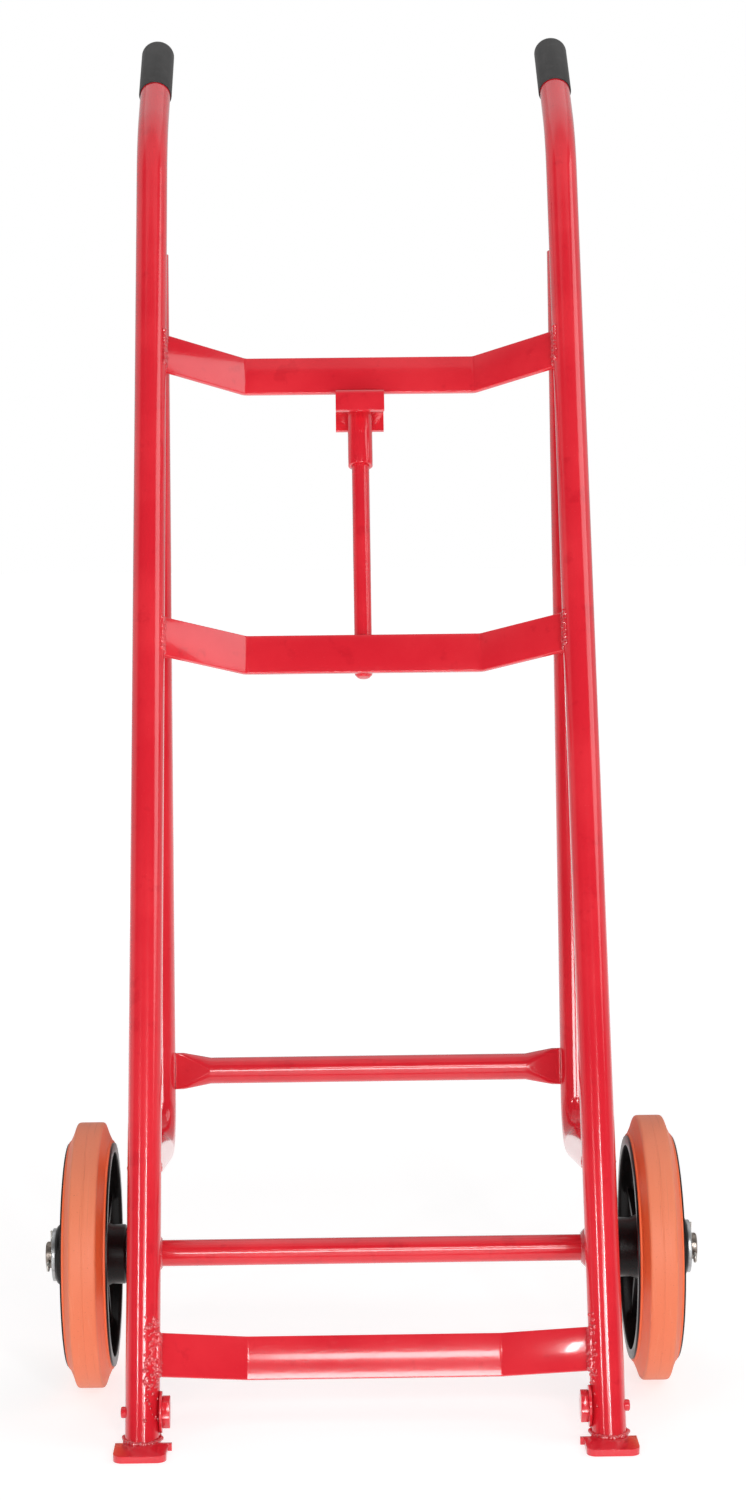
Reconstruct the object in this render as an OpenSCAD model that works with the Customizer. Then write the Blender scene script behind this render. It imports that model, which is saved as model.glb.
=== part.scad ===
// Drum hand truck: two tube rails with bent handles, three dished crossbars, rear legs,
// a through axle with two spoked wheels, two bolted toes and a sliding chime hook.
// X runs across the truck, Y to the rear, Z up. The origin is the floor point under the axle.

/* [Stance] */
// Lean of the rails back from upright, with toes and tyres both on the floor
lean = 23; // [16:0.5:28]

/* [Rails and handles] */
// Outside diameter of the rail and rear leg tube
tube_od = 31.75; // [28:0.05:35]
// Wall thickness of that tube
tube_wall = 2.6; // [1.8:0.1:3.4]
// Distance between the two rail centrelines
rail_spacing = 425.4; // [400:0.1:450]
// Height along the rail of the corner point of the handle bend
handle_up = 1322; // [1250:1:1400]
// Angle of the handle back from the rail
handle_angle = 30; // [20:1:40]
// Centreline radius of the handle bend
handle_bend_r = 150; // [100:1:200]
// Length of the handle tube past the corner point
handle_len = 176; // [150:1:220]

/* [Grips] */
// Outside diameter of the grip
grip_od = 34.8; // [34:0.1:38]
// Length of the grip from rim to closed end
grip_len = 90; // [70:1:120]
// Thickness of the grip's closed end
grip_end_t = 5; // [3:0.5:8]
// Radius of the rounded edge of the closed end
grip_round = 9; // [4:0.5:12]

/* [Crossbars] */
// Height of the flat bar section
bar_h = 40; // [32:1:45]
// Thickness of the flat bar
bar_t = 6; // [5:0.5:8]
// Width of the straight middle between the two bends
bar_flat = 238; // [200:1:260]
// Centreline radius of the bar's bends
bar_bend_r = 10; // [8:1:16]
// Height along the rail of the upper crossbar's middle
upper_bar_up = 1084.4; // [1050:0.1:1110]
// Height along the rail of the middle crossbar's middle
middle_bar_up = 778; // [740:1:820]
// Height along the rail of the lower crossbar's middle
lower_bar_up = 76; // [70:1:100]
// How far the upper two bars are set back in the middle
upper_recess = 70; // [55:1:80]
// How far the lower bar is set back in the middle
lower_recess = 48; // [40:1:60]

/* [Rear legs] */
// Distance behind the rail centreline of the leg's top end
leg_top_back = 30; // [28:0.5:32]
// Height along the rail of the leg's top end
leg_top_up = 1205; // [1150:1:1230]
// Angle between leg and rail
leg_angle = 14; // [12:0.5:16]
// Height along the rail where the leg's bottom run comes back to the rail
run_up = 248; // [245:1:275]
// Centreline radius of the leg's bottom bend
leg_bend_r = 48; // [42:1:60]
// Height along the rail of the rear cross tube
cross_up = 386; // [378:1:500]
// Outside diameter of the rear cross tube
cross_od = 26.7; // [22:0.1:30]
// Wall thickness of the rear cross tube
cross_wall = 2.3; // [1.5:0.1:3]
// Height of the cross tube's flattened ends
pinch_h = 37; // [32:1:42]
// Thickness of the cross tube's flattened ends
pinch_t = 6; // [4:0.5:8]
// Length over which the cross tube flattens
pinch_len = 36; // [30:1:80]

/* [Axle and brackets] */
// Diameter of the axle
axle_d = 25.4; // [22:0.1:28]
// Overall length of the axle
axle_len = 630.6; // [625:0.1:640]
// Distance of the axle behind the rail centreline
axle_back = 130; // [120:1:145]
// Thickness of the axle bracket plate
bracket_t = 6; // [5:0.5:9]
// Outside diameter of the spacer between bracket and wheel
spacer_od = 34; // [32:0.5:40]
// Height of the bracket where it meets the rail
bracket_h = 128; // [110:1:132]
// Radius of the bracket's round end
bracket_r = 27; // [24:1:32]

/* [Wheels] */
// Tyre outside diameter
wheel_d = 254; // [250:1:256]
// Distance from the truck's middle to the wheel's middle
wheel_x = 271; // [270:0.1:272]
// Width of the wheel's rim
rim_w = 44.4; // [42:0.1:46]
// Outside diameter of the rim under the tyre
rim_d = 214; // [208:1:216]
// Width of the tyre tread's flat
tread_w = 24.4; // [22:0.1:28]
// Length of the hub
hub_len = 67; // [64:0.1:68]
// Outside diameter of the hub
hub_d = 57; // [54:0.5:62]
// Number of spokes in the wheel
spokes = 5; // [4:1:7]
// Number of rollers in each wheel bearing
rollers = 16; // [12:1:17]
// Outside diameter of the axle washers
washer_d = 50.8; // [46:0.1:54]
// Thickness of the axle washers
washer_t = 3.8; // [3:0.1:4]

/* [Toes] */
// Thickness of the toe plate
toe_t = 6.35; // [5:0.05:8]
// Width of the toe plate
toe_w = 48; // [44:1:60]
// Reach of the toe plate in front of the rail's centre
toe_front = 48; // [40:1:70]
// How far in front of the rail's centre the plate narrows to its heel
toe_neck = 10; // [6:1:14]
// Length of the heel behind the rail's centre
toe_rear = 15; // [12:1:20]
// Radius of the toe plate's front corners
toe_round = 9; // [3:1:12]
// Height along the rail of the toe bolt
toe_bolt_up = 24; // [20:1:30]
// Diameter of the toe bolt
toe_bolt_d = 10.5; // [8:0.5:12]
// Width across flats of the toe bolt's head
toe_head_af = 26; // [22:1:28]

/* [Chime hook] */
// Diameter of the hook's rod
rod_d = 18; // [16:0.1:20]
// Outside diameter of the sleeve that slides on the rod
sleeve_od = 25.4; // [24:0.1:28]
// Length of the sleeve
sleeve_len = 65; // [50:1:90]
// Height along the rail of the hook's top face in the stored position
hook_up = 1058; // [1000:1:1060]
// Width of the hook across the truck
hook_w = 50; // [44:1:56]
// Depth of the hook from front lip to rear lip
hook_depth = 58; // [54:1:64]
// Height of the hook's lips
hook_h = 24; // [18:1:30]
// Thickness of the hook's plate
hook_t = 5; // [4:0.5:6]

/* [Hidden] */
$fn = 64;
eps = 0.01;
bend_steps = 8;
bend_ease = 0.02;
handle_lap = 1;
paint_red = "#d8202c";
tyre_orange = "#ee6a3c";
cast_black = "#242224";
vinyl_grey = "#3c3f3f";
zinc_plate = "#b9bcbe";

tube_r = tube_od / 2;
rail_x = rail_spacing / 2;
wheel_r = wheel_d / 2;
axle_r = axle_d / 2;
bend_run = handle_bend_r * tan(handle_angle / 2);
// The rail's foot meets the toe plate, so the axle's height along the rail follows from the lean
axle_up = (wheel_r - toe_t + axle_back * sin(lean)) / cos(lean);
rail_foot_y = -axle_back * cos(lean) - axle_up * sin(lean);
grip_start = handle_len + grip_end_t - grip_len;
// Leg frame: origin where the bottom run meets the rail, Y along the run, Z up the leg
leg_rise = leg_top_up - run_up;
leg_y = leg_top_back * cos(leg_angle) + leg_rise * sin(leg_angle);
leg_z = leg_rise * cos(leg_angle) - leg_top_back * sin(leg_angle);
cross_z = (cross_up - run_up - leg_y * sin(leg_angle)) / cos(leg_angle);
pinch_x = rail_x - tube_r;
rod_r = rod_d / 2;
rod_back = upper_recess + bar_t / 2 + rod_r + 0.02;
rod_end_chamfer = 3;
sleeve_r = sleeve_od / 2;
slide_gap = 0.09;
turn_gap = 0.2;
hook_rear = rod_back + sleeve_r + 0.5 + hook_t;
shoulder_w = 41;
shoulder_r = 109.7;
tread_base_w = 37;
rim_r = rim_d / 2;
rim_wall = 7;
rim_lip = 4;
spoke_w = 20;
spoke_t = 8;
rib_w = 7;
rib_h = 26;
inner_washer_x = wheel_x - hub_len / 2 - washer_t - 0.4;
race_r = 19;
race_wall = 1.1;
roller_r = 2.5;
roller_ring = axle_r + roller_r + 0.08;
roller_len = 54;
cage_t = 3;
bracket_out = rail_x + bracket_t / 2;
weld_leg = 7;
cotter_r = 1.75;
cotter_x = axle_len / 2 - 3.2;
cotter_reach = 17;
cotter_eye = 3.6;
cotter_tilt = 18;
cotter_leg_r = 8;
bolt_gap = 0.15;
tang_r = tube_r - tube_wall - 0.3;
tang_len = 46;
toe_washer_t = 2.5;
toe_washer_r = 19;
toe_head_t = 7;
toe_tip = 4;
heel_w = 32;
lug_x = 3.5;
lug_y = 5;

// Turns the truck's own frame (Y behind the rails, Z up the rails) to the leaning stance
module lean_back()
    translate([0, 0, wheel_r]) rotate([-lean, 0, 0]) translate([0, -axle_back, -axle_up]) children();

// Makes the left piece from the right one
module left()
    mirror([1, 0, 0]) children();

// Lays a child's Z axis along the axle
module on_axle(x = 0)
    translate([x, 0, wheel_r]) rotate([0, 90, 0]) children();

// Ring with its axis along the axle, from x to x + length
module axle_ring(x, length, r_out, r_in)
    on_axle(x) difference() {
        cylinder(h = length, r = r_out);
        translate([0, 0, -eps]) cylinder(h = length + 2 * eps, r = r_in);
    }

// ---- rails ----
// Rail and handle as one bent solid rod of radius r, drawn for the right side. The straight handle
// starts a little inside the bend, so it is thinner than the bend, or wider where it is the bore
module rail_path(r, ease, extra = 0) {
    foot = -60;
    translate([0, 0, foot]) rotate([0, 0, -90]) cylinder(h = handle_up - bend_run - foot, r = r);
    translate([0, handle_bend_r, handle_up - bend_run])
        rotate([90, 0, -90])
            rotate_extrude(angle = handle_angle) translate([handle_bend_r, 0]) circle(r = r);
    translate([0, 0, handle_up]) rotate([-handle_angle, 0, 0])
        translate([0, 0, bend_run - handle_lap])
            cylinder(h = handle_len - bend_run + handle_lap + extra, r = r + ease);
}

module rail()
    color(paint_red) difference() {
        lean_back() translate([rail_x, 0, 0]) difference() {
            rail_path(tube_r, -bend_ease);
            rail_path(tube_r - tube_wall, bend_ease, eps);
            toe_bolt_hole();
        }
        translate([0, rail_foot_y - 250, toe_t - 200]) cube([2 * rail_x, 500, 200]);
    }

// Cross hole for the toe bolt, about a rail's own centreline
module toe_bolt_hole()
    translate([-tube_od, 0, toe_bolt_up]) rotate([0, 90, 0]) cylinder(h = 2 * tube_od, r = toe_bolt_d / 2 + bolt_gap);

module left_rail() left() rail();
module right_rail() rail();

// ---- grips ----
module grip_outline() {
    grip_r = grip_od / 2;
    square([grip_r - grip_round, grip_len]);
    square([grip_r, grip_len - grip_round]);
    intersection() {
        translate([grip_r - grip_round, grip_len - grip_round]) circle(r = grip_round);
        square([grip_r, grip_len]);
    }
}

module grip()
    color(vinyl_grey) lean_back() translate([rail_x, 0, handle_up]) rotate([-handle_angle, 0, 0])
        translate([0, 0, grip_start]) difference() {
            rotate_extrude() grip_outline();
            translate([0, 0, -eps]) cylinder(h = grip_len - grip_end_t + eps, r = tube_r);
        }

module left_grip() left() grip();
module right_grip() grip();

// ---- crossbars ----
// One side of the flat bar, at an offset from its centreline, from the middle out to the rail's centre
function bar_side(recess, offset) =
    let (run = rail_x - bar_flat / 2,
        slope = atan(recess / run),
        bend_run = bar_bend_r * tan(slope / 2),
        bend_x = bar_flat / 2 - bend_run,
        straight = norm([run, recess]) - bend_run,
        end_x = bar_flat / 2 + (bend_run + straight) * cos(slope) + offset * sin(slope),
        end_y = recess - (bend_run + straight) * sin(slope) + offset * cos(slope))
    concat([for (i = [0:bend_steps])
            let (turn = 90 - slope * i / bend_steps)
            [bend_x + (bar_bend_r + offset) * cos(turn), recess - bar_bend_r + (bar_bend_r + offset) * sin(turn)]],
        [[end_x, end_y]]);

function backwards(points) = [for (i = [len(points) - 1:-1:0]) points[i]];
function mirrored(points) = [for (p = points) [-p[0], p[1]]];

// Flat bar from rail to rail, set back by recess in the middle
module crossbar(up, recess) {
    rear = bar_side(recess, bar_t / 2);
    front = bar_side(recess, -bar_t / 2);
    color(paint_red) lean_back() translate([0, 0, up - bar_h / 2]) difference() {
        linear_extrude(height = bar_h)
            polygon(concat(rear, backwards(front), mirrored(front), backwards(mirrored(rear))));
        for (side = [-1, 1])
            translate([side * rail_x, 0, -1]) rotate([0, 0, side * 90]) cylinder(h = bar_h + 2, r = tube_r);
    }
}

module upper_crossbar() crossbar(upper_bar_up, upper_recess);
module middle_crossbar() crossbar(middle_bar_up, upper_recess);
module lower_crossbar() crossbar(lower_bar_up, lower_recess);

// ---- rear legs ----
module in_leg_frame()
    lean_back() translate([0, 0, run_up]) rotate([leg_angle, 0, 0]) children();

module leg_path(r, extra = 0) {
    rotate([-90, 0, 0]) cylinder(h = leg_y - leg_bend_r, r = r);
    translate([0, leg_y - leg_bend_r, leg_bend_r]) rotate([0, 90, 0])
        rotate_extrude(angle = 90) translate([leg_bend_r, 0]) circle(r = r);
    translate([0, leg_y, leg_bend_r]) cylinder(h = leg_z - leg_bend_r + extra, r = r);
}

module rear_leg()
    color(paint_red) difference() {
        in_leg_frame() translate([rail_x, 0, 0]) difference() {
            leg_path(tube_r);
            leg_path(tube_r - tube_wall, eps);
        }
        lean_back() translate([rail_x, 0, 0]) cylinder(h = handle_up - bend_run, r = tube_r + bend_ease);
    }

module left_rear_leg() left() rear_leg();
module right_rear_leg() rear_leg();

// Round tube whose ends are pressed flat and flare in height
module rear_cross_tube()
    color(paint_red) in_leg_frame() translate([0, leg_y, cross_z]) {
        round_half = pinch_x - pinch_len;
        rotate([0, 90, 0]) difference() {
            cylinder(h = 2 * round_half, r = cross_od / 2, center = true);
            cylinder(h = 2 * round_half + 2, r = cross_od / 2 - cross_wall, center = true);
        }
        for (side = [-1, 1]) hull() {
            translate([side * (round_half + 0.5), 0, 0]) rotate([0, 90, 0])
                cylinder(h = 1, r = cross_od / 2, center = true, $fn = 40);
            translate([side * (pinch_x - pinch_len / 3), 0, 0])
                cube([1, pinch_t + 6, pinch_h - 4], center = true);
            translate([side * (pinch_x - 4), 0, 0]) cube([8, pinch_t, pinch_h], center = true);
        }
    }

// ---- axle ----
module axle()
    color(zinc_plate) difference() {
        on_axle() rotate_extrude() {
            chamfer = 1.2;
            polygon([[0, -axle_len / 2], [axle_r - chamfer, -axle_len / 2],
                [axle_r, chamfer - axle_len / 2], [axle_r, axle_len / 2 - chamfer],
                [axle_r - chamfer, axle_len / 2], [0, axle_len / 2]]);
        }
        for (side = [-1, 1])
            translate([side * cotter_x, 0, wheel_r]) rotate([90 + cotter_tilt, 0, 0])
                cylinder(h = 3 * axle_d, r = cotter_r + bolt_gap, center = true);
    }

// Plate behind the rail: a straight edge on the rail, narrowing to a round end on the axle
module bracket_outline() {
    low = axle_up - bracket_h * 0.62;
    high = low + bracket_h;
    high_turn = atan2(high - axle_up, -axle_back);
    low_turn = atan2(low - axle_up, -axle_back);
    high_touch = high_turn - acos(bracket_r / norm([axle_back, high - axle_up]));
    low_touch = low_turn + acos(bracket_r / norm([axle_back, low - axle_up]));
    polygon([[0, low], [axle_back + bracket_r * cos(low_touch), axle_up + bracket_r * sin(low_touch)],
        [axle_back, axle_up], [axle_back + bracket_r * cos(high_touch), axle_up + bracket_r * sin(high_touch)],
        [0, high]]);
    translate([axle_back, axle_up]) circle(r = bracket_r);
}

module axle_bracket()
    color(paint_red) difference() {
        lean_back() translate([bracket_out - bracket_t, 0, 0]) rotate([90, 0, 90])
            linear_extrude(height = bracket_t) bracket_outline();
        on_axle() cylinder(h = axle_len, r = axle_r + 0.05);
        lean_back() translate([rail_x, 0, 0]) cylinder(h = handle_up / 2, r = tube_r);
        lean_back() translate([rail_x - 2 * tube_od, -tube_od, 0]) cube([4 * tube_od, tube_od, handle_up / 2]);
    }

// Fillet weld round the axle on the inner face of each bracket
module axle_welds()
    color(paint_red) for (side = [0, 1])
        mirror([side, 0, 0]) on_axle(bracket_out - bracket_t) rotate_extrude() {
            inner = axle_r + 0.02;
            polygon([[inner, 0], [inner, -weld_leg], [inner + 1.5, -weld_leg], [inner + 4.5, -4.5],
                [inner + weld_leg, -1.5], [inner + weld_leg, 0]]);
        }

module axle_spacer()
    color(paint_red) axle_ring(bracket_out + eps, inner_washer_x - bracket_out - 0.1, spacer_od / 2, axle_r + 0.3);

module left_axle_bracket() left() axle_bracket();
module right_axle_bracket() axle_bracket();
module left_axle_spacer() left() axle_spacer();
module right_axle_spacer() axle_spacer();

// ---- wheels ----
// Half section of the tyre: tread flat, sloping flanks and a low shoulder each side
module tyre_section() {
    flank_r = shoulder_r + 1.5;
    polygon([[rim_r, -shoulder_w / 2], [shoulder_r, -shoulder_w / 2], [shoulder_r, -tread_base_w / 2],
        [flank_r, -tread_base_w / 2], [wheel_r - 1.5, -tread_w / 2 - 1], [wheel_r, -tread_w / 2 + 1],
        [wheel_r, tread_w / 2 - 1], [wheel_r - 1.5, tread_w / 2 + 1], [flank_r, tread_base_w / 2],
        [shoulder_r, tread_base_w / 2], [shoulder_r, shoulder_w / 2], [rim_r, shoulder_w / 2]]);
}

module tyre()
    color(tyre_orange) on_axle(wheel_x) rotate_extrude($fn = 96) tyre_section();

// Half section of the cast rim, with a lip at each edge and a rib where the spokes meet it
module rim_section() {
    bed = rim_r - rim_wall;
    edge = rim_w / 2;
    polygon([[rim_r, -edge], [rim_r, edge], [bed - 2, edge], [bed - 2, edge - rim_lip],
        [bed, edge - rim_lip - 3], [bed, 9], [bed - 5, 5], [bed - 5, -5], [bed, -9],
        [bed, rim_lip + 3 - edge], [bed - 2, rim_lip - edge], [bed - 2, -edge]]);
}

// Half section of the hub, swelling where the spokes leave it
module hub_section() {
    half = hub_len / 2;
    hub_r = hub_d / 2;
    polygon([[race_r, -half], [hub_r - 1.5, -half], [hub_r, 1.5 - half], [hub_r, -20], [hub_r + 7, -3],
        [hub_r + 7, 3], [hub_r, 20], [hub_r, half - 1.5], [hub_r - 1.5, half], [race_r, half]]);
}

// Cast centre: ribbed spokes between a long hub and the rim
module wheel_centre()
    color(cast_black) on_axle(wheel_x) {
        rotate_extrude($fn = 96) rim_section();
        rotate_extrude() hub_section();
        for (i = [0:spokes - 1])
            rotate([0, 0, (i + 0.5) * 360 / spokes]) {
                start = hub_d / 2 - 4;
                length = rim_r - rim_wall + 2 - start;
                translate([start, -spoke_w / 2, -spoke_t / 2]) cube([length, spoke_w, spoke_t]);
                translate([start, -rib_w / 2, -rib_h / 2]) cube([length, rib_w, rib_h]);
            }
    }

module bearing_race()
    color(zinc_plate) axle_ring(wheel_x - hub_len / 2 + 1, hub_len - 2, race_r, race_r - race_wall);

module bearing_rollers()
    color(zinc_plate) on_axle(wheel_x)
        for (i = [0:rollers - 1])
            rotate([0, 0, i * 360 / rollers]) translate([roller_ring, 0, 0])
                cylinder(h = roller_len, r = roller_r, center = true);

module bearing_cage()
    color("#9a8f6a") for (side = [-1, 1])
        axle_ring(wheel_x + side * (roller_len / 2 + cage_t / 2 + 0.2) - cage_t / 2, cage_t,
            race_r - race_wall - 0.3, axle_r + 0.3);

module inner_washer()
    color(zinc_plate) axle_ring(inner_washer_x, washer_t, washer_d / 2, axle_r + 0.4);

module outer_washer()
    color(zinc_plate) axle_ring(wheel_x + hub_len / 2 + 0.3, washer_t, washer_d / 2, axle_r + 0.4);

// Split pin: eye in front, shank through the axle, one leg curled up behind
module cotter_pin()
    color(zinc_plate) translate([cotter_x, 0, wheel_r]) rotate([cotter_tilt, 0, 0]) {
        rotate([90, 0, 0]) cylinder(h = 2 * cotter_reach, r = cotter_r, center = true);
        translate([0, -cotter_reach - cotter_eye, 0]) rotate([0, 90, 0])
            rotate_extrude() translate([cotter_eye, 0]) circle(r = cotter_r * 0.8);
        translate([0, cotter_reach, cotter_leg_r]) rotate([0, 90, 0])
            rotate_extrude(angle = 110) translate([cotter_leg_r, 0]) circle(r = cotter_r * 0.7);
    }

module left_tyre() left() tyre();
module right_tyre() tyre();
module left_wheel_centre() left() wheel_centre();
module right_wheel_centre() wheel_centre();
module left_bearing_race() left() bearing_race();
module right_bearing_race() bearing_race();
module left_bearing_rollers() left() bearing_rollers();
module right_bearing_rollers() bearing_rollers();
module left_bearing_cage() left() bearing_cage();
module right_bearing_cage() bearing_cage();
module left_inner_washer() left() inner_washer();
module right_inner_washer() inner_washer();
module left_outer_washer() left() outer_washer();
module right_outer_washer() outer_washer();
module left_cotter_pin() left() cotter_pin();
module right_cotter_pin() cotter_pin();

// ---- toes ----
// Tongue with round front corners, a heel as wide as the rail and a small lug on the inner side
module toe_outline() {
    half = toe_w / 2;
    translate([-half, toe_round - toe_front]) square([toe_w, toe_front - toe_neck - toe_round]);
    translate([toe_round - half, -toe_front]) square([toe_w - 2 * toe_round, 2 * toe_round]);
    for (side = [-1, 1])
        translate([side * (half - toe_round), toe_round - toe_front]) circle(r = toe_round);
    translate([-heel_w / 2, -toe_neck - 1]) square([heel_w, toe_neck + toe_rear + 1]);
    translate([-half - lug_x, -toe_neck - lug_y]) square([lug_x + 1, lug_y]);
}

// The toe's tang goes up inside the rail, where the cross bolt holds it
module toe()
    color(paint_red) union() {
        translate([rail_x, rail_foot_y, 0]) linear_extrude(height = toe_t) toe_outline();
        difference() {
            lean_back() translate([rail_x, 0, 0]) difference() {
                translate([0, 0, -20]) cylinder(h = tang_len + 20, r = tang_r);
                toe_bolt_hole();
            }
            translate([0, rail_foot_y - 100, toe_t - eps - 60]) cube([2 * rail_x, 200, 60]);
        }
    }

// Hex bolt through rail and tang, head on the inner side
module toe_bolt()
    color(paint_red) lean_back() translate([rail_x - tube_r - toe_washer_t, 0, toe_bolt_up]) rotate([0, 90, 0]) {
        translate([0, 0, -toe_head_t]) cylinder(h = toe_head_t, r = toe_head_af / 2 / cos(30), $fn = 6);
        translate([0, 0, -eps]) cylinder(h = toe_washer_t + tube_od + toe_tip - 1, r = toe_bolt_d / 2);
        translate([0, 0, toe_washer_t + tube_od + toe_tip - 1 - eps])
            cylinder(h = 1, r1 = toe_bolt_d / 2, r2 = toe_bolt_d / 2 - 1);
    }

module toe_washer()
    color(paint_red) lean_back() translate([rail_x - tube_r - toe_washer_t, 0, toe_bolt_up]) rotate([0, 90, 0])
        difference() {
            cylinder(h = toe_washer_t - eps, r = toe_washer_r);
            translate([0, 0, -1]) cylinder(h = toe_washer_t + 2, r = toe_bolt_d / 2 + bolt_gap);
        }

module left_toe() left() toe();
module right_toe() toe();
module left_toe_bolt() left() toe_bolt();
module right_toe_bolt() toe_bolt();
module left_toe_washer() left() toe_washer();
module right_toe_washer() toe_washer();

// ---- chime hook ----
module on_rod(up)
    lean_back() translate([0, rod_back, up]) children();

module hook_rod() {
    low = middle_bar_up - bar_h / 2 - 1;
    length = upper_bar_up + bar_h / 2 - low;
    color(paint_red) on_rod(low) rotate_extrude()
        polygon([[0, 0], [rod_r - rod_end_chamfer, 0], [rod_r, rod_end_chamfer],
            [rod_r, length - rod_end_chamfer], [rod_r - rod_end_chamfer, length], [0, length]]);
}

module hook_sleeve()
    color(paint_red) on_rod(hook_up - hook_t - turn_gap - sleeve_len) difference() {
        cylinder(h = sleeve_len, r = sleeve_r);
        translate([0, 0, -eps]) cylinder(h = sleeve_len + 2 * eps, r = rod_r + slide_gap);
    }

// Side view of the hook: an upside-down channel with rounded top corners
module hook_outline() {
    difference() {
        union() {
            translate([hook_t, -hook_h]) square([hook_depth - 2 * hook_t, hook_h]);
            translate([0, -hook_h]) square([hook_depth, hook_h - hook_t]);
            for (y = [hook_t, hook_depth - hook_t]) translate([y, -hook_t]) circle(r = hook_t);
        }
        translate([hook_t, -hook_h - 1]) square([hook_depth - 2 * hook_t, hook_h + 1 - hook_t]);
    }
}

module chime_hook()
    color(paint_red) lean_back() difference() {
        translate([-hook_w / 2, hook_rear - hook_depth, hook_up]) rotate([90, 0, 90])
            linear_extrude(height = hook_w) hook_outline();
        translate([0, rod_back, hook_up - 2 * hook_t]) cylinder(h = 4 * hook_t, r = rod_r + 0.5);
    }

left_rail();
right_rail();
left_grip();
right_grip();
upper_crossbar();
middle_crossbar();
lower_crossbar();
left_rear_leg();
right_rear_leg();
rear_cross_tube();
axle();
left_axle_bracket();
right_axle_bracket();
axle_welds();
left_axle_spacer();
right_axle_spacer();
left_tyre();
right_tyre();
left_wheel_centre();
right_wheel_centre();
left_bearing_race();
right_bearing_race();
left_bearing_rollers();
right_bearing_rollers();
left_bearing_cage();
right_bearing_cage();
left_inner_washer();
right_inner_washer();
left_outer_washer();
right_outer_washer();
left_cotter_pin();
right_cotter_pin();
left_toe();
right_toe();
left_toe_bolt();
right_toe_bolt();
left_toe_washer();
right_toe_washer();
hook_rod();
hook_sleeve();
chime_hook();
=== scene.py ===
"""Looks for the drum hand truck: enamel tubes, moulded tyres, dipped grips, welds and hardware.

Every piece is placed from the truck's own sizes, in metres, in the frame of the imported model.
"""

import logging
import math
import random
from dataclasses import dataclass, field
from enum import Enum
from typing import Any, Iterable, Sequence

import bpy
from mathutils import Matrix, Vector

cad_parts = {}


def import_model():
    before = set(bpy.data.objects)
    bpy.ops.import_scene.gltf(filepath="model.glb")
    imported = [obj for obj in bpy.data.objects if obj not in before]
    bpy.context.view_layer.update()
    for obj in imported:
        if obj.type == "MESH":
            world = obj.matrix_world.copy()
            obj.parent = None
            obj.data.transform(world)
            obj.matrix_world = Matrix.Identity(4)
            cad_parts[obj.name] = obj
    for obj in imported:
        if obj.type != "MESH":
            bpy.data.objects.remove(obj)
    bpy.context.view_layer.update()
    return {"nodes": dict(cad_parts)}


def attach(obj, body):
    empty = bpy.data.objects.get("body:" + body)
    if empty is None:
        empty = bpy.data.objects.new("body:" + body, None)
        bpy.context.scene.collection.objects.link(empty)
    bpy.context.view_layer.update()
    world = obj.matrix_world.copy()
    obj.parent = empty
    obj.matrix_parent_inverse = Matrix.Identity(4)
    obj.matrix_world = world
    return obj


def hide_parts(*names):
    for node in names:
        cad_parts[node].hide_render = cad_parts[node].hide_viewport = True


LOG = logging.getLogger("hand_truck")
Colour = tuple[float, float, float]
Point = tuple[float, float, float]
Piece = bpy.types.Object
Material = bpy.types.Material
SIDES = {"left": -1.0, "right": 1.0}


# ---------------------------------------------------------------- shader language
class Wire:
    """One output socket, with arithmetic that adds Math nodes."""

    def __init__(self, sheet: "Sheet", socket: bpy.types.NodeSocket) -> None:
        """Keep the socket and the sheet that owns it."""
        self.sheet = sheet
        self.socket = socket

    def math(self, operation: str, *others: Any, swap: bool = False) -> "Wire":
        """Add a Math node.

        Args:
            operation: the node's operation name.
            others: further operands, wires or numbers.
            swap: put this wire second instead of first.

        Returns:
            The node's result.
        """
        values = [self, *others]
        if swap:
            values.reverse()
        return self.sheet.node("ShaderNodeMath", {"operation": operation}, values)

    def __add__(self, other: Any) -> "Wire":
        """Sum."""
        return self.math("ADD", other)

    __radd__ = __add__

    def __mul__(self, other: Any) -> "Wire":
        """Product."""
        return self.math("MULTIPLY", other)

    __rmul__ = __mul__

    def __sub__(self, other: Any) -> "Wire":
        """Difference."""
        return self.math("SUBTRACT", other)

    def __rsub__(self, other: Any) -> "Wire":
        """Difference with this wire second."""
        return self.math("SUBTRACT", other, swap=True)

    def __abs__(self) -> "Wire":
        """Absolute value."""
        return self.math("ABSOLUTE")

    def step(self, low: float, high: float) -> "Wire":
        """Turn this wire into a smooth mask.

        Args:
            low: the value where the mask is 0.
            high: the value where it is 1, below low for a mask that falls.

        Returns:
            The mask, from 0 to 1.
        """
        falling = low > high
        settings = {"interpolation_type": "SMOOTHSTEP"}
        inputs = {"Value": self, "From Min": min(low, high), "From Max": max(low, high)}
        if falling:
            inputs.update({"To Min": 1.0, "To Max": 0.0})
        return self.sheet.node("ShaderNodeMapRange", settings, inputs)


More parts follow.
